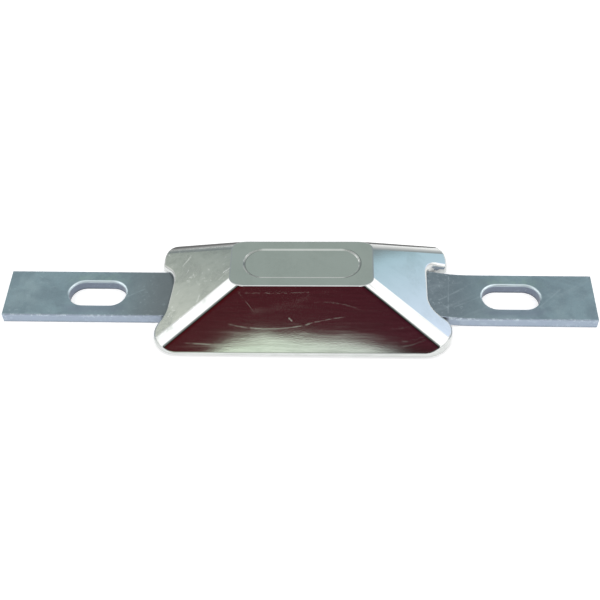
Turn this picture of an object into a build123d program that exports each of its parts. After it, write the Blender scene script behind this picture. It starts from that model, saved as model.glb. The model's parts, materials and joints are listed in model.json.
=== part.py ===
from build123d import *
import math
import os

# A bolt-on hull anode: one block of zinc cast round a flat galvanised steel strap.
# Millimetres. X runs along the strap, Y across it, and Z points away from the hull.
# The origin is midway between the two bolt slots, on the plane that the strap's arms bear on.
# Left and near are the -X and -Y sides.

# Zinc block: its size over the rim, its flat top, and the roundings of its cast edges. The strap
# lay at a slight angle in the mould, so the block leans along it, right end up, while its back,
# the open side of the mould, set level.
casting_length = 151.3
casting_offset_along = 0.35
casting_width = 72.9
casting_offset_across = -0.3
casting_height = 28.9
casting_standoff = 2.0
casting_lean_angle = 0.6
side_rim_height = 1.7
end_rim_height = 3.7
near_corner_radius = 15.0
far_corner_radius = 11.5
rim_edge_radius = 2.5
plateau_length = 71.4
plateau_width = 29.8
plateau_offset_across = -0.25
plateau_edge_radius = 1.0
hip_radius = 9.0

# Plain panel sunk in the plateau
panel_length = 59.0
panel_width = 19.6
panel_depth = 0.5
panel_wall_angle = 60.0

# Notch in the left end, seen from above. Its walls flare from the strap's direction, and its
# floor is skewed from square across the strap.
left_notch_depth = 6.75
left_notch_floor = 24.4
left_notch_offset = -2.6
left_notch_skew_angle = 6.3
left_notch_flare_angle = 51.5
left_notch_floor_radius = 15.0
left_notch_near_lip_radius = 11.0
left_notch_far_lip_radius = 4.0

# Notch in the right end, deeper and squarer
right_notch_depth = 11.9
right_notch_floor = 28.7
right_notch_offset = 1.15
right_notch_skew_angle = 0.0
right_notch_flare_angle = 20.0
right_notch_floor_radius = 9.0
right_notch_near_lip_radius = 7.0
right_notch_far_lip_radius = 3.0

# Steel strap: flat in both arms, and raised inside the block so that zinc runs under it
strap_width = 30.0
strap_thickness = 6.0
strap_edge_radius = 0.5
strap_rise = 5.0
strap_bend_radius = 90.0
left_tail = 47.4
right_tail = 42.7

# Bolt slots, one in each arm, with their top edges rolled over by the punch. The arm is flat for
# some way on the block's side of its slot.
slot_spacing = 215.0
slot_length = 30.0
slot_width = 16.0
slot_edge_radius = 0.9
left_slot_flat = 23.5
right_slot_flat = 4.5

# How near a face or edge must lie to a height or direction to be picked by it
reach = 0.01
# The most of a side that the roundings at its two ends may take up
rounded_share = 0.98

# Each bend of the strap is a pair of arcs that turn by the same angle, one up and one level again
bend_radii = 2 * strap_bend_radius + strap_thickness
bend_angle = math.degrees(math.acos(1 - strap_rise / bend_radii))
bend_run = bend_radii * math.sin(math.radians(bend_angle))
outer_bend_radius = strap_bend_radius + strap_thickness
left_bend_start = -(slot_spacing / 2 - slot_length / 2 - left_slot_flat)
right_bend_start = slot_spacing / 2 - slot_length / 2 - right_slot_flat
raised_length = right_bend_start - left_bend_start - 2 * bend_run

with BuildPart() as mounting_strap:
    with BuildSketch(Plane.XZ):
        with BuildLine():
            left_arm = Line((-slot_spacing / 2 - left_tail, 0), (left_bend_start, 0))
            left_foot = JernArc(left_arm @ 1, left_arm % 1, outer_bend_radius, bend_angle)
            left_shoulder = JernArc(left_foot @ 1, left_foot % 1, strap_bend_radius, -bend_angle)
            middle = Line(left_shoulder @ 1, left_shoulder @ 1 + Vector(raised_length, 0))
            right_shoulder = JernArc(middle @ 1, middle % 1, strap_bend_radius, -bend_angle)
            right_foot = JernArc(right_shoulder @ 1, right_shoulder % 1, outer_bend_radius, bend_angle)
            Line(right_foot @ 1, (slot_spacing / 2 + right_tail, 0))
            offset(amount=strap_thickness, side=Side.LEFT)
        make_face()
    extrude(amount=strap_width / 2, both=True)
    with BuildSketch(Plane.XY):
        with GridLocations(slot_spacing, 0, 2, 1):
            SlotOverall(slot_length, slot_width)
    extrude(amount=2 * strap_thickness, both=True, mode=Mode.SUBTRACT)

    arm_tops = mounting_strap.faces().filter_by(Axis.Z).filter_by_position(
        Axis.Z, strap_thickness - reach, strap_thickness + reach
    )
    slot_mouths = [edge for top in arm_tops for mouth in top.inner_wires() for edge in mouth.edges()]
    fillet(slot_mouths, slot_edge_radius)
    strap_sides = mounting_strap.faces().filter_by(Axis.Y).filter_by(
        lambda side: abs(side.center().Y) > strap_width / 2 - reach
    )
    long_edges = [edge for side in strap_sides for edge in side.edges().filter_by(Axis.Z, reverse=True)]
    fillet(long_edges, strap_edge_radius)
mounting_strap.part.label = "mounting_strap"


def notch_corners(end, depth, floor, offset_across, skew_angle, flare_angle):
    """Corners of a notch seen from above: near lip, near and far ends of its floor, far lip.

    end is +1 for the right end of the block and -1 for the left."""
    skew = math.tan(math.radians(skew_angle)) * floor / 2
    flare = math.tan(math.radians(flare_angle))
    near_depth, far_depth = depth - skew, depth + skew
    near_y, far_y = offset_across - floor / 2, offset_across + floor / 2
    end_x = casting_offset_along + end * casting_length / 2
    return [
        (end_x, near_y - near_depth * flare),
        (end_x - end * near_depth, near_y),
        (end_x - end * far_depth, far_y),
        (end_x, far_y + far_depth * flare),
    ]


def radii_that_fit(corners, radii):
    """Radii of a closed outline's corners, each made smaller where a side is too short for it."""
    sides = [Vector(corners[i]) - Vector(corners[i - 1]) for i in range(len(corners))]
    next_sides = sides[1:] + sides[:1]
    taken = [
        radius * math.tan(math.radians(before.get_angle(after)) / 2)
        for radius, before, after in zip(radii, sides, next_sides)
    ]
    shares = [
        min(1, rounded_share * sides[i].length / (taken[i - 1] + taken[i])) for i in range(len(corners))
    ]
    next_shares = shares[1:] + shares[:1]
    return [radius * min(pair) for radius, *pair in zip(radii, shares, next_shares)]


left_corners = notch_corners(
    -1,
    left_notch_depth,
    left_notch_floor,
    left_notch_offset,
    left_notch_skew_angle,
    left_notch_flare_angle,
)
right_corners = notch_corners(
    1,
    right_notch_depth,
    right_notch_floor,
    right_notch_offset,
    right_notch_skew_angle,
    right_notch_flare_angle,
)
left_x, right_x = (casting_offset_along + end * casting_length / 2 for end in (-1, 1))
near_y, far_y = (casting_offset_across + side * casting_width / 2 for side in (-1, 1))
plan_corners = [
    (left_x, near_y),
    (right_x, near_y),
    *right_corners,
    (right_x, far_y),
    (left_x, far_y),
    *reversed(left_corners),
]
plan_radii = [
    near_corner_radius,
    near_corner_radius,
    right_notch_near_lip_radius,
    right_notch_floor_radius,
    right_notch_floor_radius,
    right_notch_far_lip_radius,
    far_corner_radius,
    far_corner_radius,
    left_notch_far_lip_radius,
    left_notch_floor_radius,
    left_notch_floor_radius,
    left_notch_near_lip_radius,
]

side_rim_top = casting_standoff + side_rim_height
end_rim_top = casting_standoff + end_rim_height
plateau_top = casting_standoff + casting_height
plateau_ends_along = (-plateau_length / 2, plateau_length / 2)
plateau_ends_across = (plateau_offset_across - plateau_width / 2, plateau_offset_across + plateau_width / 2)


def sloping_profile(rim_ends, rim_top, plateau_ends):
    """Corners of the block's section along one axis, its slopes carried on down to the arms' plane."""
    feet = [rim + (rim - top) * rim_top / (plateau_top - rim_top) for rim, top in zip(rim_ends, plateau_ends)]
    return [
        (feet[0], 0),
        (feet[1], 0),
        (plateau_ends[1], plateau_top),
        (plateau_ends[0], plateau_top),
    ]


with BuildPart() as upright_block:
    # Four sloping faces up to the plateau, from two crossed profiles, and the round hips between them
    with BuildSketch(Plane.XZ):
        Polygon(*sloping_profile((left_x, right_x), end_rim_top, plateau_ends_along), align=None)
    extrude(amount=casting_width, both=True)
    with BuildSketch(Plane.YZ):
        Polygon(*sloping_profile((near_y, far_y), side_rim_top, plateau_ends_across), align=None)
    extrude(amount=casting_length, both=True, mode=Mode.INTERSECT)
    hips = [
        edge
        for edge in upright_block.edges()
        if abs(edge.tangent_at(0).X * edge.tangent_at(0).Y * edge.tangent_at(0).Z) > reach
    ]
    fillet(hips, hip_radius)

    # The plan outline, with a notch in each end where the strap comes out, cut upright
    with BuildSketch(Plane.XY):
        with BuildLine():
            FilletPolyline(plan_corners, radius=radii_that_fit(plan_corners, plan_radii), close=True)
        make_face()
    extrude(amount=plateau_top, mode=Mode.INTERSECT)

    # Cast edges: round the plateau, and along the top of the rim and of the notch walls
    plateau = upright_block.faces().sort_by(Axis.Z)[-1]
    fillet(plateau.outer_wire().edges(), plateau_edge_radius)
    walls = upright_block.faces().filter_by(lambda face: abs(face.normal_at().Z) < reach)
    wall_tops = [
        edge
        for wall in walls
        for edge in wall.edges().filter_by(Axis.Z, reverse=True)
        if edge.center().Z > reach
    ]
    fillet(wall_tops, rim_edge_radius)

    # The sunk panel, with sloping walls
    with BuildSketch(Plane.XY.offset(plateau_top)):
        with Locations((0, plateau_offset_across)):
            SlotOverall(panel_length, panel_width)
    extrude(amount=-panel_depth, taper=panel_wall_angle, mode=Mode.SUBTRACT)

with BuildPart() as anode_casting:
    add(upright_block.part, rotation=(0, -casting_lean_angle, 0))
    split(bisect_by=Plane.XY.offset(casting_standoff), keep=Keep.TOP)
    # The bed that the zinc makes round the strap
    add(mounting_strap.part, mode=Mode.SUBTRACT)
anode_casting.part.label = "anode_casting"

os.makedirs("parts", exist_ok=True)
export_step(mounting_strap.part, "parts/mounting_strap.step")
export_step(anode_casting.part, "parts/anode_casting.step")
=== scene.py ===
import json
import math
from collections import namedtuple

import bpy
from bpy.props import FloatProperty, FloatVectorProperty, IntProperty, PointerProperty
from mathutils import Matrix, Vector


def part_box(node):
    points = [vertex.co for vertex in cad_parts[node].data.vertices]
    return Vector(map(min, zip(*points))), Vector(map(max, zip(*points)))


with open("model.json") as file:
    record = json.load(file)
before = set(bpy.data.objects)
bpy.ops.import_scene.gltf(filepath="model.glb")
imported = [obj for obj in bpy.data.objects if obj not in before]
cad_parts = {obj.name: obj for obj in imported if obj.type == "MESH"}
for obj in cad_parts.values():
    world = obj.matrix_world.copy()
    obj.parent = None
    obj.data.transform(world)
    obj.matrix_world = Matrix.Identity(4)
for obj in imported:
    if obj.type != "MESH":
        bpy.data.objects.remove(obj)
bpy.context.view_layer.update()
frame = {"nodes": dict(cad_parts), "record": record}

bl_info = {
    "name": "Hull anode finish",
    "version": (1, 0, 0),
    "blender": (4, 5, 0),
    "location": "3D Viewport > Sidebar > Anode",
    "description": "Cast zinc and galvanised steel finishes, and a photo studio, for a bolt-on hull anode",
    "category": "Object",
}

# Metres, in the part's own frame: X along the strap, Y across it, Z up from the hull side.
MM = 0.001
BLOCK_LOW, BLOCK_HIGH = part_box("anode_casting")
STRAP_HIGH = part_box("mounting_strap")[1]
# Top of the strap's two level arms
ARM_TOP = 6 * MM
# The sunk panel is an oblong with round ends. Its middle line runs this far to either side of X = 0,
# and its sloping wall lies between these two distances from that line.
PANEL_HALF_LINE = 19.7 * MM
PANEL_MIDDLE_Y = -0.25 * MM
PANEL_WALL_FOOT = 9.0 * MM
PANEL_WALL_TOP = 9.8 * MM


def colour_setting(name, description, default):
    return FloatVectorProperty(
        name=name, description=description, subtype="COLOR", size=3, min=0, max=1, default=default,
    )


def roughness_setting(name, description, default):
    return FloatProperty(name=name, description=description, default=default, min=0, max=1)


def height_setting(name, description, default):
    return FloatProperty(
        name=name, description=description, unit="LENGTH", default=default, min=0, max=MM, precision=7,
    )


class ZincSettings(bpy.types.PropertyGroup):
    """Finish of the cast zinc block."""

    colour: colour_setting("Colour", "Clean cast zinc", (0.62, 0.635, 0.625))
    # Also multiplied in as painted shade on the sunk panel's sloping end walls
    dull_colour: colour_setting("Dull colour", "Zinc under its thin grey film, and the painted shade on the panel's end walls", (0.43, 0.455, 0.435))
    bright_colour: colour_setting("Bright colour", "Freshly scratched zinc", (0.86, 0.88, 0.86))
    # Painted shade: the colour laid into the block's corners and under its overhangs
    crevice_shade_colour: colour_setting("Crevice shade colour", "Painted shade in the block's corners", (0.10, 0.105, 0.11))
    roughness: roughness_setting("Roughness", "Roughness of the mould-smooth faces", 0.05)
    dull_roughness: roughness_setting("Dull roughness", "Roughness where the skin is dull", 0.24)
    scratch_roughness: roughness_setting(
        "Scratch roughness", "Roughness inside scratches and rubbed marks", 0.30,
    )
    grain_height: height_setting("Grain height", "Height of the fine grain of the mould's wall", 0.0028 * MM)
    wave_height: height_setting("Wave height", "Height of the slow waves in the faces", 0.04 * MM)


class SteelSettings(bpy.types.PropertyGroup):
    """Finish of the galvanised steel strap."""

    colour: colour_setting("Colour", "Zinc coat on the strap's flats", (0.39, 0.51, 0.555))
    dark_colour: colour_setting("Dark colour", "Darker patches of the coat", (0.29, 0.375, 0.42))
    pale_colour: colour_setting("Pale colour", "Pale clouds in the coat", (0.50, 0.62, 0.65))
    # Painted reflection of the block, darkening the arms' coat beside it
    left_block_reflection_colour: colour_setting(
        "Left block reflection colour", "Painted reflection of the block on the left arm's coat", (0.265, 0.295, 0.31),
    )
    right_block_reflection_colour: colour_setting(
        "Right block reflection colour", "Painted reflection of the block on the right arm's coat", (0.265, 0.318, 0.35),
    )
    # Rubbed coat, and also the painted highlights on the edges and the slots' far rims
    bright_colour: colour_setting("Bright colour", "Rubbed coat and scratches, and painted highlights along the edges and on the slots' far rims", (0.70, 0.80, 0.84))
    green_colour: colour_setting(
        "Green colour", "Faint green bloom of the coat on the far side of the slots", (0.40, 0.54, 0.50),
    )
    # Painted shade: a bluish darker zone on the near side of each slot
    blue_colour: colour_setting(
        "Blue colour", "Painted shade, bluish, on the near side of the slots", (0.30, 0.35, 0.43),
    )
    edge_face_colour: colour_setting(
        "Edge face colour", "Coat on the strap's sheared long faces", (0.315, 0.37, 0.455),
    )
    # Painted shade in the walls of the slots
    slot_wall_colour: colour_setting("Slot wall colour", "Painted shade on the punched walls of the slots", (0.175, 0.205, 0.26))
    # Painted shade: the colour laid where the strap meets the block and in its other corners
    crevice_shade_colour: colour_setting("Crevice shade colour", "Painted shade where the strap meets the block", (0.07, 0.075, 0.085))
    roughness: roughness_setting("Roughness", "Roughness of the coat's smoothest spots", 0.34)
    dull_roughness: roughness_setting("Dull roughness", "Roughness of the coat's dullest spots", 0.46)
    coat_height: height_setting("Coat height", "Height of the coat's fine grain", 0.02 * MM)
    # Reach of the painted reflection of the block on the arms
    block_reflection_length: FloatProperty(
        name="Block reflection length", description="How far from the block the painted reflection reaches", unit="LENGTH",
        default=32 * MM, min=0, max=200 * MM,
    )


class StudioSettings(bpy.types.PropertyGroup):
    """Camera, floor and lamps."""

    lens: FloatProperty(
        name="Lens", description="Focal length on a 36 mm wide sensor", default=62.15, min=1, max=500,
    )
    azimuth: FloatProperty(
        name="Azimuth", description="How far the camera stands to the right of straight ahead",
        subtype="ANGLE", default=math.radians(2.678),
    )
    elevation: FloatProperty(
        name="Elevation", description="How high the camera looks down from", subtype="ANGLE",
        default=math.radians(49.837),
    )
    roll: FloatProperty(
        name="Roll", description="Turn of the camera about its own line of sight", subtype="ANGLE",
        default=math.radians(-1.486),
    )
    distance: FloatProperty(
        name="Distance", description="From the camera to its target", subtype="DISTANCE", default=0.54317,
        min=0.01,
    )
    target: FloatVectorProperty(
        name="Target", description="Point in the middle of the view", subtype="XYZ", unit="LENGTH", size=3,
        default=(-1.711 * MM, 1.191 * MM, 0.5 * MM),
    )
    lamp_strength: FloatProperty(
        name="Lamp strength", description="Radiance of each soft lamp, in the units of the world's strength",
        default=1.6, min=0,
    )
    board_columns: IntProperty(
        name="Board columns", description="Faces along each studio board", default=36, min=2, max=200,
    )


class NodeTree:
    """A shader node tree that is wired up one node at a time."""

    def __init__(self, tree):
        self.tree = tree
        tree.nodes.clear()

    def node(self, kind, inputs=None, **settings):
        made = self.tree.nodes.new(kind)
        for name, value in settings.items():
            setattr(made, name, value)
        for name, value in (inputs or {}).items():
            self.feed(made.inputs[name], value)
        return made

    def feed(self, socket, value):
        if isinstance(value, bpy.types.NodeSocket):
            self.tree.links.new(value, socket)
        else:
            socket.default_value = value

    def use(self, group, **inputs):
        """The outputs of a shared node group that is fed with these inputs."""
        return self.node("ShaderNodeGroup", inputs, node_tree=group).outputs

    def maths(self, operation, *values, clamp=False):
        made = self.node("ShaderNodeMath", operation=operation, use_clamp=clamp)
        for socket, value in zip(made.inputs, values):
            self.feed(socket, value)
        return made.outputs[0]

    def chain(self, operation, first, *others):
        for other in others:
            first = self.maths(operation, first, other)
        return first

    def times(self, *values):
        return self.chain("MULTIPLY", *values)

    def plus(self, *values):
        return self.chain("ADD", *values)

    def most(self, *values):
        return self.chain("MAXIMUM", *values)

    def less(self, value, taken):
        return self.maths("SUBTRACT", value, taken)

    def absolute(self, value):
        return self.maths("ABSOLUTE", value)

    def vector(self, operation, *values, output="Vector"):
        made = self.node("ShaderNodeVectorMath", operation=operation)
        for socket, value in zip([s for s in made.inputs if s.enabled], values):
            self.feed(socket, value)
        return made.outputs[output]

    def parts(self, vector):
        """The X, Y and Z of a vector."""
        return self.node("ShaderNodeSeparateXYZ", {"Vector": vector}).outputs

    def joined(self, **axes):
        """The vector with these X, Y and Z."""
        return self.node("ShaderNodeCombineXYZ", axes).outputs[0]

    def turned(self, vector, angle):
        """The vector turned about Z."""
        return self.node("ShaderNodeMapping", {"Vector": vector, "Rotation": (0, 0, angle)}).outputs["Vector"]

    def mix(self, factor, first, second, kind="RGBA", blend="MIX"):
        made = self.node("ShaderNodeMix", data_type=kind)
        if kind == "RGBA":
            made.blend_type = blend
        sockets = [s for s in made.inputs if s.enabled]
        for socket, value in zip(sockets, (factor, first, second)):
            self.feed(socket, value)
        return next(s for s in made.outputs if s.enabled)

    def between(self, value, low, high, to_low=0.0, to_high=1.0):
        """value carried from low..high to to_low..to_high, with soft ends."""
        inputs = {"Value": value, "From Min": low, "From Max": high, "To Min": to_low, "To Max": to_high}
        return self.node("ShaderNodeMapRange", inputs, interpolation_type="SMOOTHSTEP").outputs["Result"]

    def noise(self, vector, scale, detail=2.0, roughness=0.5, distortion=0.0):
        inputs = {
            "Vector": vector, "Scale": scale, "Detail": detail, "Roughness": roughness,
            "Distortion": distortion,
        }
        return self.node("ShaderNodeTexNoise", inputs).outputs["Fac"]

    def patches(self, vector, scale, low, high, **noise):
        """Noise cut into patches, whose soft edges lie where it goes from low to high."""
        return self.between(self.noise(vector, scale, **noise), low, high)

    def surface(self, shader):
        self.feed(self.node("ShaderNodeOutputMaterial").inputs["Surface"], shader)


def colour(values):
    """An RGBA value of a colour property."""
    return (*values, 1.0)


def node_group(name, inputs, outputs):
    """A new shader node group, its tree, what it is given, and the sockets that it has to feed."""
    group = bpy.data.node_groups.new(name, "ShaderNodeTree")
    for socket, kind, value in inputs:
        made = group.interface.new_socket(socket, in_out="INPUT", socket_type=kind)
        if value is not None:
            made.default_value = value
    for socket in outputs:
        group.interface.new_socket(socket, in_out="OUTPUT", socket_type="NodeSocketFloat")
    tree = NodeTree(group)
    given = tree.node("NodeGroupInput").outputs
    return group, tree, given, tree.node("NodeGroupOutput").inputs


def mottle_group():
    """Soft patches at two sizes, as on a metal skin that froze unevenly."""
    group, tree, given, out = node_group(
        "Mottle",
        [("Vector", "NodeSocketVector", None), ("Scale", "NodeSocketFloat", 60.0)],
        ["Patches", "Fine"],
    )
    place, scale = given["Vector"], given["Scale"]
    broad = tree.patches(place, scale, 0.38, 0.64, detail=3.0, roughness=0.55, distortion=0.6)
    fine = tree.patches(place, tree.times(scale, 7.0), 0.3, 0.7, detail=4.0, roughness=0.65)
    tree.feed(out["Patches"], broad)
    tree.feed(out["Fine"], fine)
    return group


def drag_lines_group():
    """Fine lines along X that wander a little, broken up and of uneven strength."""
    group, tree, given, out = node_group(
        "Drag lines",
        [
            ("Vector", "NodeSocketVector", None), ("Spacing", "NodeSocketFloat", 900.0),
            ("Stretch", "NodeSocketFloat", 0.06), ("Wander", "NodeSocketFloat", 2 * MM),
        ],
        ["Lines", "Strong lines"],
    )
    drift = tree.less(tree.noise(given["Vector"], 28.0, detail=1.0), 0.5)
    shift = tree.joined(Y=tree.times(drift, given["Wander"]))
    stretch = tree.joined(X=given["Stretch"], Y=1.0, Z=1.0)
    drawn = tree.vector("MULTIPLY", tree.vector("ADD", given["Vector"], shift), stretch)
    fine = tree.patches(drawn, given["Spacing"], 0.35, 0.65, detail=3.0, roughness=0.7)
    sparse_scale = tree.times(given["Spacing"], 0.35)
    sparse = tree.patches(drawn, sparse_scale, 0.54, 0.72, detail=2.0, roughness=0.6)
    tree.feed(out["Lines"], fine)
    tree.feed(out["Strong lines"], sparse)
    return group


def scratch_group():
    """A mark from Start to End as seen from above. It bows sideways, and breaks up along its length."""
    group, tree, given, out = node_group(
        "Scratch",
        [
            ("Vector", "NodeSocketVector", None), ("Start", "NodeSocketVector", None),
            ("End", "NodeSocketVector", None), ("Bow", "NodeSocketFloat", 0.0),
            ("Width", "NodeSocketFloat", 0.5 * MM), ("Strength", "NodeSocketFloat", 1.0),
        ],
        ["Mark"],
    )
    along = tree.vector("SUBTRACT", given["End"], given["Start"])
    here = tree.vector("SUBTRACT", tree.vector("MULTIPLY", given["Vector"], (1, 1, 0)), given["Start"])
    reached = tree.vector("DOT_PRODUCT", here, along, output="Value")
    whole = tree.vector("DOT_PRODUCT", along, along, output="Value")
    share = tree.maths("DIVIDE", reached, whole, clamp=True)
    sideways = tree.vector("NORMALIZE", tree.vector("CROSS_PRODUCT", (0, 0, 1), along))
    # The bow is a parabola, and the 4 brings its middle to the full bow
    belly = tree.times(share, tree.less(1.0, share), tree.times(given["Bow"], 4.0))
    bowed = tree.vector("ADD", tree.vector("SCALE", along, share), tree.vector("SCALE", sideways, belly))
    away = tree.vector("DISTANCE", here, bowed, output="Value")
    line = tree.between(away, given["Width"], 0.0)
    gap_scale = tree.maths("DIVIDE", 0.1, given["Width"])
    broken = tree.patches(given["Vector"], gap_scale, 0.25, 0.65, detail=2.0, roughness=0.6)
    tree.feed(out["Mark"], tree.times(line, broken, given["Strength"]))
    return group


def crevice_group():
    """1 deep in a corner or under an overhang, where shade falls, and 0 in the open; it sets how far painted
    shade darkens the base colour.
    """
    group, tree, given, out = node_group("Crevice", [("Reach", "NodeSocketFloat", 3 * MM)], ["Depth"])
    shelter = tree.node("ShaderNodeAmbientOcclusion", {"Distance": given["Reach"]}, samples=12).outputs["AO"]
    tree.feed(out["Depth"], tree.between(shelter, 0.78, 0.42))
    return group


def shared_groups():
    """The effects that both metals use, each built once."""
    makers = {
        "Mottle": mottle_group, "Drag lines": drag_lines_group, "Scratch": scratch_group,
        "Crevice": crevice_group,
    }
    return {name: bpy.data.node_groups.get(name) or make() for name, make in makers.items()}


def new_material(name):
    material = bpy.data.materials.new(name)
    material.use_nodes = True
    return material, NodeTree(material.node_tree)


def finish_metal(tree, base, rough, height, distance):
    """Close a metal's tree with its bump, its shader and its output."""
    relief = {"Strength": 1.0, "Distance": distance, "Height": height}
    bump = tree.node("ShaderNodeBump", relief).outputs["Normal"]
    skin = {"Base Color": base, "Metallic": 1.0, "Roughness": rough, "Normal": bump}
    tree.surface(tree.node("ShaderNodeBsdfPrincipled", skin).outputs["BSDF"])


# Marks on the metal, in millimetres seen from above. Bow is how far the middle bends to the left of
# the way from start to end.
Scratch = namedtuple("Scratch", "start end bow width strength")
BLOCK_SCRATCHES = [
    Scratch((-31.5, -17), (-24, -23), 0.0, 0.4, 0.35),
    Scratch((-24, -23), (4, -18.5), -0.9, 1.8, 0.18),
    Scratch((-2, -20), (17, -16.9), 0.6, 1.6, 0.16),
    Scratch((-28, -17.5), (-10, -17.6), 0.0, 0.3, 0.5),
    Scratch((-11, -17.6), (4, -17.2), 0.0, 0.3, 0.4),
    Scratch((-6.3, -25.3), (-4.8, -26.1), 0.0, 0.45, 1.1),
    Scratch((-36, -27.4), (4, -27.2), -1.5, 0.35, 0.32),
    Scratch((3, -27.2), (21, -25.0), 0.2, 0.32, 0.4),
    Scratch((6.5, -20.4), (28, -22.4), 0.8, 0.35, 0.4),
    Scratch((45, -28.7), (55, -27.4), -0.3, 0.35, 0.3),
    Scratch((50, -32.6), (61.5, -30.4), -0.6, 0.4, 0.35),
    Scratch((47, -34.2), (63, -31.4), -0.8, 0.4, 0.35),
    Scratch((-58, -33.4), (-43, -33.9), 0.0, 0.4, 0.45),
    Scratch((-59.5, 17.4), (-62.5, 14), 0.0, 0.9, 1.1),
    Scratch((-41.5, -8.2), (-36.4, -5.4), 0.3, 0.5, 1.1),
    Scratch((-39.3, -4.4), (-36, -3.6), 0.0, 0.6, 1.1),
    Scratch((-54, -2.4), (-52.3, -6.2), 0.0, 0.8, 1.0),
    Scratch((-51.5, -13), (-52.6, -17), 0.0, 0.7, 0.9),
]
STRAP_SCRATCHES = [
    Scratch((76, 13), (74.2, -12), 0.0, 0.45, 0.7),
    Scratch((88, 9), (70, -4), 0.0, 0.7, 0.5),
    Scratch((95, 2), (77, -8), 0.0, 0.6, 0.45),
    Scratch((-83, 3), (-96, -5), 0.0, 0.7, 0.5),
    Scratch((133, 5), (121, -7), 0.0, 0.7, 0.45),
]


def scratch_mask(tree, place, scratches, group):
    """All of a list's scratches in one mask."""
    marks = []
    for scratch in scratches:
        start, end = (Vector((*point, 0)) * MM for point in (scratch.start, scratch.end))
        mark = tree.use(
            group, Vector=place, Start=start, End=end, Bow=scratch.bow * MM, Width=scratch.width * MM,
            Strength=scratch.strength,
        )
        marks.append(mark["Mark"])
    return tree.most(*marks)


def oblong_distance(tree, along, across, half_line):
    """How far a point lies past the end of an oblong's middle line, and how far from that line."""
    past_end = tree.most(tree.less(tree.absolute(along), half_line), 0.0)
    return past_end, tree.vector("LENGTH", tree.joined(X=past_end, Y=across), output="Value")


def panel_arcs(tree, place):
    """The sloping wall round the two ends of the sunk panel, where painted shade is laid."""
    soft = 0.3 * MM
    axes = tree.parts(place)
    past_end, from_line = oblong_distance(tree, axes["X"], tree.less(axes["Y"], PANEL_MIDDLE_Y), PANEL_HALF_LINE)
    outside_foot = tree.between(from_line, PANEL_WALL_FOOT - soft, PANEL_WALL_FOOT)
    inside_top = tree.between(from_line, PANEL_WALL_TOP + soft, PANEL_WALL_TOP)
    at_ends = tree.between(past_end, 0.0, 3 * MM)
    high_up = tree.between(axes["Z"], 27 * MM, 28 * MM)
    return tree.times(outside_foot, inside_top, at_ends, high_up)


def zinc_film(tree, mottle, lines, left_end, right_end, near_side):
    """Where the zinc has its grey film: clouds, most on the left end, and streaks on the near long face."""
    on_ends = tree.plus(tree.times(left_end, 0.70), tree.times(right_end, 0.10))
    cloud_share = tree.less(tree.plus(on_ends, 0.22), tree.times(near_side, 0.2))
    clouds = tree.times(mottle["Patches"], tree.plus(tree.times(mottle["Fine"], 0.6), 0.4), cloud_share)
    streaks = tree.times(lines["Lines"], near_side, 0.45)
    return tree.most(clouds, streaks)


def zinc_wear(tree, place, left_end, elsewhere):
    """Where the zinc is bare: flecks, none of them on the near long face and most on the left end."""
    cells = tree.patches(place, 330.0, 0.585, 0.68, detail=4.0, roughness=0.75)
    return tree.times(cells, tree.plus(tree.times(left_end, 0.75), 0.06), elsewhere)


def zinc_relief(tree, place, settings, left_end):
    """Height of the zinc's skin: fine grain, slow waves, and ripples on the left end."""
    grain = tree.times(tree.noise(place, 1600.0, detail=1.0), settings.grain_height)
    waves = tree.times(tree.noise(place, 42.0, detail=1.0), settings.wave_height)
    ripples = tree.times(tree.noise(place, 170.0, detail=2.0), tree.times(left_end, 0.9), settings.wave_height)
    return tree.plus(grain, waves, ripples)


def cast_zinc(settings, groups):
    """Bright zinc as it comes from the mould: mirror-like, with film and scratches, and with painted shade in
    its corners and on the sunk panel's end walls.
    """
    material, tree = new_material("Cast zinc skin")
    coordinates = tree.node("ShaderNodeTexCoord").outputs
    place, facing = coordinates["Object"], tree.parts(coordinates["Normal"])
    left_end = tree.between(facing["X"], -0.35, -0.48)
    right_end = tree.between(facing["X"], 0.35, 0.48)
    near_side = tree.between(facing["Y"], -0.55, -0.70)
    elsewhere = tree.less(1.0, near_side)

    mottle = tree.use(groups["Mottle"], Vector=place, Scale=62.0)
    lines = tree.use(groups["Drag lines"], Vector=place, Spacing=1100.0, Stretch=0.05, Wander=6 * MM)
    scratches = scratch_mask(tree, place, BLOCK_SCRATCHES, groups["Scratch"])
    film = zinc_film(tree, mottle, lines, left_end, right_end, near_side)
    worn = tree.most(scratches, zinc_wear(tree, place, left_end, elsewhere))
    drawn = tree.times(lines["Strong lines"], near_side, 0.12)
    # Painted shade in corners and under overhangs, from ambient occlusion
    crevice_shade = tree.times(tree.use(groups["Crevice"])["Depth"], 0.8)
    arcs = panel_arcs(tree, place)

    base = tree.mix(film, colour(settings.colour), colour(settings.dull_colour))
    base = tree.mix(tree.times(worn, 0.55), base, colour(settings.bright_colour))
    base = tree.mix(crevice_shade, base, colour(settings.crevice_shade_colour))
    # Painted shade: the sunk panel's sloping end walls are darkened by multiplying in the dull colour
    base = tree.mix(tree.times(arcs, 0.8), base, colour(settings.dull_colour), blend="MULTIPLY")
    dullness = tree.times(film, elsewhere)
    rough = tree.between(dullness, 0.0, 1.0, settings.roughness, settings.dull_roughness)
    rough = tree.mix(tree.most(drawn, worn), rough, settings.scratch_roughness, kind="FLOAT")
    rough = tree.mix(arcs, rough, settings.dull_roughness, kind="FLOAT")
    finish_metal(tree, base, rough, zinc_relief(tree, place, settings, left_end), 1.0)
    return material


def slot_distance(tree, axes):
    """How far a point lies from the middle line of the nearer bolt slot, seen from above, and the
    slot's radius."""
    mounts = frame["record"]["mounts"]
    bolts = next(mount for mount in mounts if mount["kind"] == "bolt_pattern")["dims"]
    radius = bolts["hole_r_mm"] * MM
    half_line = bolts["slot_length_mm"] / 2 * MM - radius
    along = tree.less(tree.absolute(axes["X"]), bolts["spacing_x_mm"] / 2 * MM)
    return oblong_distance(tree, along, axes["Y"], half_line)[1], radius


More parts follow.
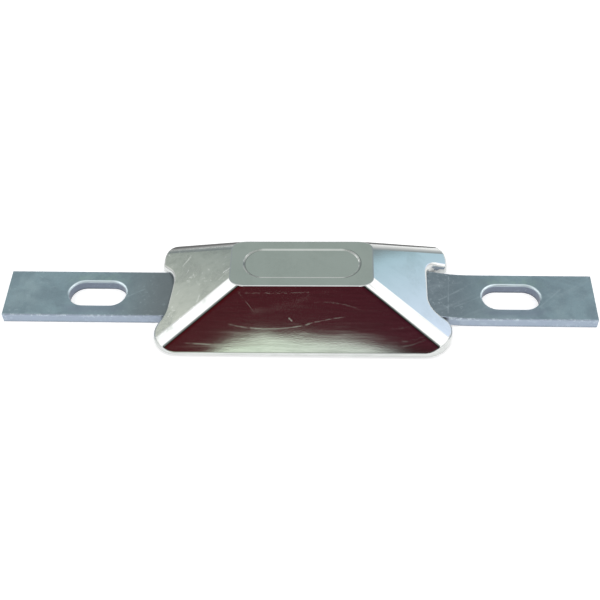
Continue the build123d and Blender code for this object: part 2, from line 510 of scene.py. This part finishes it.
def coat_wear_and_highlights(tree, place, axes, arm_top, from_slot, slot_radius, ragged):
    """Where the coat is made bright: the long top edges, partly rubbed coat and partly painted highlight; the
    far rims of the slots, a painted highlight; and flecks of rubbed coat.
    """
    corner = tree.between(tree.absolute(axes["Y"]), STRAP_HIGH[1] - 1.1 * MM, STRAP_HIGH[1] - 0.4 * MM)
    # Partly rubbed coat, partly painted highlight, along the long top edges
    edges = tree.times(corner, arm_top, tree.between(ragged, 0.47, 0.64), 0.55)
    from_rim = tree.absolute(tree.less(from_slot, slot_radius + 0.4 * MM))
    far_half = tree.between(axes["Y"], -3 * MM, 2 * MM)
    # Painted highlight on the far rims of the slots
    rims = tree.times(tree.between(from_rim, 0.7 * MM, 0.2 * MM), arm_top, far_half, 0.95)
    cells = tree.patches(place, 620.0, 0.57, 0.68, detail=3.0, roughness=0.65)
    flecks = tree.times(cells, tree.patches(place, 45.0, 0.45, 0.65, detail=1.0), 0.30)
    return tree.most(edges, rims, flecks)


def coat_patches(tree, place, axes, from_slot, ragged, settings):
    """Tinted patches of the coat, and a painted shade on the near side of each slot, each with its share and its
    colour, in the order they are laid.
    """
    beyond = tree.times(tree.between(from_slot, 16 * MM, 9 * MM), tree.between(axes["Y"], 5 * MM, 10 * MM))
    green = tree.times(beyond, tree.between(ragged, 0.38, 0.62), 0.8)
    pale = tree.times(tree.patches(place, 32.0, 0.48, 0.66, detail=4.0, roughness=0.65), 0.55)
    # Painted shade: a bluish darker zone on the near side of each slot
    before = tree.times(tree.between(from_slot, 17 * MM, 9 * MM), tree.between(axes["Y"], -6 * MM, -11 * MM))
    return [
        (green, colour(settings.green_colour)),
        (pale, colour(settings.pale_colour)),
        (tree.times(before, 0.8), colour(settings.blue_colour)),
    ]


def block_reflection_on_coat(tree, axes, settings):
    """Painted reflection of the block: the coat darkened beside the block, with its share and its colour."""
    reflection_end, reflection_full = BLOCK_HIGH[0] + settings.block_reflection_length, BLOCK_HIGH[0] - 5 * MM
    on_right = tree.between(axes["X"], -20 * MM, 20 * MM)
    left, right = colour(settings.left_block_reflection_colour), colour(settings.right_block_reflection_colour)
    return tree.between(tree.absolute(axes["X"]), reflection_end, reflection_full), tree.mix(on_right, left, right)


def cut_faces(tree, axes, arm_top, from_slot, slot_radius, mottle, settings):
    """The sheared long faces, and the painted shade on the slots' walls, each with its share and its colour."""
    side = tree.between(tree.absolute(axes["Y"]), STRAP_HIGH[1] - 0.6 * MM, STRAP_HIGH[1] - 0.2 * MM)
    edge_face = tree.times(side, tree.between(mottle["Fine"], 0.0, 1.0, 1.0, 0.8))
    # Painted shade on the walls inside the slots
    at_wall = tree.between(from_slot, slot_radius + 0.9 * MM, slot_radius + 0.4 * MM)
    slot_wall = tree.times(at_wall, tree.less(1.0, arm_top))
    return [
        (edge_face, colour(settings.edge_face_colour)),
        (slot_wall, colour(settings.slot_wall_colour)),
    ]


def galvanised_steel(settings, groups):
    """Zinc coat on flat bar: mottled, satin, darkened beside the block by a painted reflection of it, rubbed
    bright along its edges with painted highlights there and on the slots' far rims, and with painted shade in
    its crevices, in the slots' walls and on the near side of the slots.
    """
    material, tree = new_material("Galvanised coat")
    place = tree.node("ShaderNodeTexCoord").outputs["Object"]
    axes = tree.parts(place)
    mottle = tree.use(groups["Mottle"], Vector=place, Scale=70.0)
    slanted = tree.turned(place, math.radians(-32))
    lines = tree.use(groups["Drag lines"], Vector=slanted, Spacing=700.0, Stretch=0.10, Wander=4 * MM)
    scratches = scratch_mask(tree, place, STRAP_SCRATCHES, groups["Scratch"])
    ragged = tree.noise(place, 420.0, detail=4.0, roughness=0.75)
    from_slot, slot_radius = slot_distance(tree, axes)
    arm_top = tree.between(axes["Z"], ARM_TOP - 1.6 * MM, ARM_TOP - 0.4 * MM)

    rubbed = coat_wear_and_highlights(tree, place, axes, arm_top, from_slot, slot_radius, ragged)
    # Rubbed coat and scratches, with the painted highlights of the edges and slot rims
    worn = tree.most(rubbed, tree.times(scratches, 0.5))
    drawn = tree.times(lines["Strong lines"], tree.between(axes["X"], 0.0, 20 * MM, 0.03, 0.12))
    # Painted shade in corners and where the strap meets the block, from ambient occlusion
    crevice_shade = tree.times(tree.use(groups["Crevice"])["Depth"], 0.75)
    layers = [
        *coat_patches(tree, place, axes, from_slot, ragged, settings),
        # Painted reflection of the block: the coat darkened beside it
        block_reflection_on_coat(tree, axes, settings),
        *cut_faces(tree, axes, arm_top, from_slot, slot_radius, mottle, settings),
        (drawn, colour(settings.bright_colour)),
        (worn, colour(settings.bright_colour)),
        (crevice_shade, colour(settings.crevice_shade_colour)),
    ]
    shade = tree.mix(0.35, mottle["Patches"], mottle["Fine"], kind="FLOAT")
    base = tree.mix(shade, colour(settings.colour), colour(settings.dark_colour))
    for share, layer in layers:
        base = tree.mix(share, base, layer)
    rough = tree.between(mottle["Fine"], 0.0, 1.0, settings.roughness, settings.dull_roughness)
    relief = tree.mix(0.3, mottle["Fine"], lines["Lines"], kind="FLOAT")
    finish_metal(tree, base, rough, relief, settings.coat_height)
    return material


class ANODE_OT_cast_block(bpy.types.Operator):
    """Give the zinc block its cast skin"""

    bl_idname = "anode.cast_block"
    bl_label = "Cast zinc block"

    def execute(self, context):
        node = frame["nodes"]["anode_casting"]
        node.material_slots[0].material = cast_zinc(context.scene.anode_zinc, shared_groups())
        return {"FINISHED"}


class ANODE_OT_strap(bpy.types.Operator):
    """Give the strap its galvanised coat"""

    bl_idname = "anode.strap"
    bl_label = "Galvanised strap"

    def execute(self, context):
        node = frame["nodes"]["mounting_strap"]
        node.material_slots[0].material = galvanised_steel(context.scene.anode_steel, shared_groups())
        return {"FINISHED"}


# The studio. A board's azimuth is counted from straight behind the object, +Y, towards +X. Its colours
# are those of its low left, low right, high left and high right corners, and its fades are the widths
# of its soft edges across and up, in degrees. A board with an arch has a lower edge that falls away
# from arch_top on its two sides by so many degrees for each degree squared. Each board stands a step
# nearer than the one before it, and hides it.
BOARD_RADIUS = 1.6
BOARD_STEP = 0.01
Board = namedtuple("Board", "name azimuths elevations colours fades arch arch_top", defaults=((0, 0), 0))


def even(shade):
    return (shade,) * 4


def side_to_side(left, right):
    return (left, right, left, right)


def low_to_high(low, high):
    return (low, low, high, high)


WHITE_LIGHT = even((1.7, 1.7, 1.7))
GREY_CARD = even((0.36, 0.38, 0.37))
BOARDS = [
    # Overhead
    Board("ceiling_board", (0, 360), (53, 89), low_to_high((0.56, 0.58, 0.59), (0.50, 0.52, 0.53)), (0, 4)),
    # Low behind the object
    Board(
        "neutral_behind", (-34, 34), (14, 40),
        low_to_high((0.80, 0.82, 0.84), (0.34, 0.37, 0.39)), (5, 5),
    ),
    # In front of it
    Board("dark_flag", (147, 221), (8, 46), even((0.012, 0.018, 0.013)), (1.2, 1.2)),
    Board(
        "pale_board", (173.5, 198), (9, 31),
        side_to_side((0.84, 0.88, 0.84), (1.24, 1.46, 1.10)), (4, 3),
    ),
    Board("horizon_strip", (150, 215), (13, 18), even((0.30, 0.32, 0.31)), (4, 2)),
    Board(
        "maroon_board", (161, 205), (24.37, 41),
        ((0.09, 0.022, 0.036), (0.12, 0.026, 0.028), (0.065, 0.010, 0.020), (0.105, 0.006, 0.008)),
        (1, 0.8), (0.009, 0.075), 185,
    ),
    Board("left_card", (208, 224), (28, 50), GREY_CARD, (6, 5)),
    Board("right_card", (142, 158), (28, 50), GREY_CARD, (6, 5)),
    # To its right and left
    Board("right_light", (55, 149), (12, 54), WHITE_LIGHT, (5, 2)),
    Board("right_end_light", (48, 58), (18.7, 54), WHITE_LIGHT, (1.2, 1.2)),
    Board("left_light", (-140.5, -58), (12, 51), WHITE_LIGHT, (5.5, 2.5)),
    Board("left_end_light", (-62, -49), (17, 51), WHITE_LIGHT, (4, 4)),
    Board("right_dimmer", (44, 62.5), (34.5, 56), even((0.80, 0.82, 0.83)), (3, 2)),
    Board("left_dimmer", (-64, -44), (34.5, 56), even((0.80, 0.82, 0.81)), (3, 2)),
    # High in front of it
    Board("top_light", (120, 240), (50, 66), WHITE_LIGHT, (4, 2)),
    Board("top_glow", (100, 260), (65, 78), even((0.86, 0.90, 0.87)), (10, 2)),
    # High behind it
    Board(
        "back_board", (-49.5, 48), (19.5, 80),
        side_to_side((0.44, 0.49, 0.50), (0.40, 0.45, 0.48)), (3, 2),
    ),
    Board("plateau_board", (-17, 9), (42, 55), even((0.456, 0.525, 0.49)), (3, 3)),
    # Low behind it to the right and left
    Board(
        "right_grey_strip", (27, 48), (3, 22),
        side_to_side((1.0, 1.0, 1.0), (0.20, 0.26, 0.28)), (1, 1),
    ),
    Board(
        "sky_blue_board", (45.0, 58), (4, 20),
        side_to_side((0.52, 0.78, 0.87), (1.42, 1.50, 1.86)), (1.7, 0.9),
    ),
    Board(
        "left_grey_strip", (-49, -8), (0.3, 17),
        side_to_side((0.22, 0.26, 0.27), (0.98, 1.02, 1.0)), (1, 0.5),
    ),
    Board(
        "left_end_board", (-58, -45.4), (3, 17),
        side_to_side((1.12, 1.14, 1.02), (0.34, 0.40, 0.38)), (1.6, 1),
    ),
]


def on_board(azimuth, elevation, radius):
    """A point of a board, in metres."""
    level = radius * math.cos(elevation)
    return Vector((level * math.sin(azimuth), level * math.cos(azimuth), radius * math.sin(elevation)))


def board_material(board, wide, tall):
    """A glow seen in reflections only, that fades out at the board's edges."""
    material, tree = new_material(board.name)
    across = tree.parts(tree.node("ShaderNodeTexCoord").outputs["UV"])
    masks = []
    for axis, span, fade in zip("XY", (wide, tall), board.fades):
        near_start = tree.between(across[axis], 0.0, fade / span)
        near_end = tree.between(across[axis], 1 - fade / span, 1.0, 1.0, 0.0)
        masks.append(tree.times(near_start, near_end))
    low_left, low_right, high_left, high_right = (colour(shade) for shade in board.colours)
    low, high = tree.mix(across["X"], low_left, low_right), tree.mix(across["X"], high_left, high_right)
    glow = tree.node("ShaderNodeEmission", {"Color": tree.mix(across["Y"], low, high)}).outputs["Emission"]
    clear = tree.node("ShaderNodeBsdfTransparent").outputs["BSDF"]
    faded = tree.node("ShaderNodeMixShader", {"Fac": tree.times(*masks)})
    tree.feed(faded.inputs[1], clear)
    tree.feed(faded.inputs[2], glow)
    tree.surface(faded.outputs[0])
    return material


def stage_reflected_only(made):
    """Keep a stage piece out of sight of all but mirrored rays."""
    made.visible_camera = made.visible_diffuse = made.visible_shadow = False
    made.visible_transmission = made.visible_volume_scatter = False


def add_board(board, radius, columns):
    """A studio board bent round the object, seen by reflections alone."""
    bpy.ops.object.select_all(action="DESELECT")
    bpy.ops.mesh.primitive_grid_add(x_subdivisions=columns, y_subdivisions=columns, size=1)
    made = bpy.context.object
    made.name = board.name
    (left, right), (low, high) = board.azimuths, board.elevations
    for vertex in made.data.vertices:
        azimuth = left + (right - left) * (vertex.co.x + 0.5)
        fall = board.arch[azimuth > board.arch_top]
        foot = low - fall * (azimuth - board.arch_top) ** 2
        elevation = foot + (high - foot) * (vertex.co.y + 0.5)
        vertex.co = on_board(math.radians(azimuth), math.radians(elevation), radius)
    made.data.materials.append(board_material(board, right - left, high - low))
    stage_reflected_only(made)


def shade_sheet_material():
    """A glow that is dark behind the block and paler with distance, and grey to the left of it."""
    material, tree = new_material("Shade sheet")
    place = tree.parts(tree.node("ShaderNodeTexCoord").outputs["Object"])
    behind_block = tree.between(place["Y"], 0.05, 0.35, 0.20, 0.80)
    beside_block = tree.between(place["X"], BLOCK_LOW[0], BLOCK_LOW[0] - 30 * MM)
    strength = tree.mix(beside_block, behind_block, 0.55, kind="FLOAT")
    glow = tree.node("ShaderNodeEmission", {"Color": (1, 1, 1, 1), "Strength": strength})
    tree.surface(glow.outputs["Emission"])
    return material


def add_shade_sheet():
    """A sheet just over the floor, behind the block and to the left of that, mirrored in its far edges."""
    reach, left_reach, gap, lift = 0.6, 0.25, MM, 0.3 * MM
    bpy.ops.object.select_all(action="DESELECT")
    bpy.ops.mesh.primitive_plane_add(size=1.0)
    sheet = bpy.context.object
    sheet.name = "shade_sheet"
    left, right = BLOCK_LOW[0] - left_reach, BLOCK_HIGH[0]
    for vertex in sheet.data.vertices:
        vertex.co.x = left + (right - left) * (vertex.co.x + 0.5)
        vertex.co.y = BLOCK_HIGH[1] + gap + reach * (vertex.co.y + 0.5)
        vertex.co.z = lift
    sheet.data.materials.append(shade_sheet_material())
    stage_reflected_only(sheet)


def seen_directly(tree):
    """1 where a ray comes from the camera, a reflection or glass."""
    path = tree.node("ShaderNodeLightPath").outputs
    return tree.most(path["Is Camera Ray"], path["Is Glossy Ray"], path["Is Transmission Ray"])


def add_floor():
    """A pale floor that goes over into the white background and keeps the object's shadow."""
    glow_strength, held_from_camera = 0.6, 0.05
    bpy.ops.object.select_all(action="DESELECT")
    bpy.ops.mesh.primitive_plane_add(size=8.0)
    floor = bpy.context.object
    floor.name = "studio_floor"
    material, tree = new_material("Studio floor")
    camera_share = tree.times(tree.node("ShaderNodeLightPath").outputs["Is Camera Ray"], -held_from_camera)
    glow = tree.plus(camera_share, tree.times(seen_directly(tree), glow_strength))
    paint = {
        "Base Color": (0.8, 0.8, 0.8, 1), "Roughness": 0.9, "Specular IOR Level": 0.0,
        "Emission Color": (1, 1, 1, 1), "Emission Strength": glow,
    }
    tree.surface(tree.node("ShaderNodeBsdfPrincipled", paint).outputs["BSDF"])
    floor.data.materials.append(material)


def light_world():
    """White where it is seen, and a soft even fill for everything else."""
    fill, white = 0.55, 1.0
    world = bpy.data.worlds.new("Studio world")
    world.use_nodes = True
    bpy.context.scene.world = world
    tree = NodeTree(world.node_tree)
    strength = tree.between(seen_directly(tree), 0.0, 1.0, fill, white)
    light = tree.node("ShaderNodeBackground", {"Color": (1, 1, 1, 1), "Strength": strength})
    tree.feed(tree.node("ShaderNodeOutputWorld").inputs["Surface"], light.outputs["Background"])


def add_lamp(name, azimuth, strength):
    """A square soft lamp aimed at the object. Its mirror image comes from the boards."""
    elevation, distance, size = 48, 1.3, 0.9
    light = bpy.data.lights.new(name, "AREA")
    light.shape, light.size = "SQUARE", size
    light.energy = strength * math.pi * size * size
    lamp = bpy.data.objects.new(name, light)
    bpy.context.scene.collection.objects.link(lamp)
    lamp.location = on_board(math.radians(azimuth), math.radians(elevation), distance)
    lamp.rotation_mode = "QUATERNION"
    lamp.rotation_quaternion = lamp.location.to_track_quat("Z", "Y")
    lamp.visible_glossy = False


def add_camera(studio):
    """The camera, where the photograph was taken from."""
    data = bpy.data.cameras.new("Camera")
    data.sensor_width, data.lens = 36.0, studio.lens
    camera = bpy.data.objects.new("Camera", data)
    bpy.context.scene.collection.objects.link(camera)
    level, rise = math.cos(studio.elevation), math.sin(studio.elevation)
    back = Vector((math.sin(studio.azimuth) * level, -math.cos(studio.azimuth) * level, rise))
    right = Vector((math.cos(studio.azimuth), math.sin(studio.azimuth), 0))
    up = back.cross(right)
    turned_right = right * math.cos(studio.roll) + up * math.sin(studio.roll)
    turned_up = up * math.cos(studio.roll) - right * math.sin(studio.roll)
    axes = Matrix((turned_right, turned_up, back)).transposed().to_4x4()
    place = Vector(studio.target) + back * studio.distance
    camera.matrix_world = Matrix.Translation(place) @ axes
    bpy.context.scene.camera = camera


class ANODE_OT_studio(bpy.types.Operator):
    """Set up the camera, the floor, the lamps and the boards that the metal mirrors"""

    bl_idname = "anode.studio"
    bl_label = "Photo studio"

    def execute(self, context):
        studio = context.scene.anode_studio
        context.scene.view_settings.view_transform = "Standard"
        add_camera(studio)
        add_floor()
        light_world()
        for step, board in enumerate(BOARDS):
            add_board(board, BOARD_RADIUS - BOARD_STEP * step, studio.board_columns)
        add_shade_sheet()
        add_lamp("left_lamp", -110, studio.lamp_strength)
        add_lamp("right_lamp", 110, studio.lamp_strength)
        return {"FINISHED"}


class ANODE_PT_panel(bpy.types.Panel):
    """The anode's finishes and its studio"""

    bl_idname = "ANODE_PT_panel"
    bl_label = "Hull anode"
    bl_space_type = "VIEW_3D"
    bl_region_type = "UI"
    bl_category = "Anode"

    def draw(self, context):
        scene = context.scene
        steps = (
            (ANODE_OT_cast_block, scene.anode_zinc),
            (ANODE_OT_strap, scene.anode_steel),
            (ANODE_OT_studio, scene.anode_studio),
        )
        for operator, settings in steps:
            box = self.layout.box()
            for name in settings.__annotations__:
                box.prop(settings, name)
            box.operator(operator.bl_idname)


CLASSES = (
    ZincSettings, SteelSettings, StudioSettings, ANODE_OT_cast_block, ANODE_OT_strap, ANODE_OT_studio,
    ANODE_PT_panel,
)
SETTINGS = {"anode_zinc": ZincSettings, "anode_steel": SteelSettings, "anode_studio": StudioSettings}


def register():
    for made in CLASSES:
        bpy.utils.register_class(made)
    for name, group in SETTINGS.items():
        setattr(bpy.types.Scene, name, PointerProperty(type=group))


def unregister():
    for name in SETTINGS:
        delattr(bpy.types.Scene, name)
    for made in reversed(CLASSES):
        bpy.utils.unregister_class(made)


def main():
    register()
    bpy.ops.anode.studio()
    bpy.ops.anode.cast_block()
    bpy.ops.anode.strap()


if __name__ == "__main__":
    main()
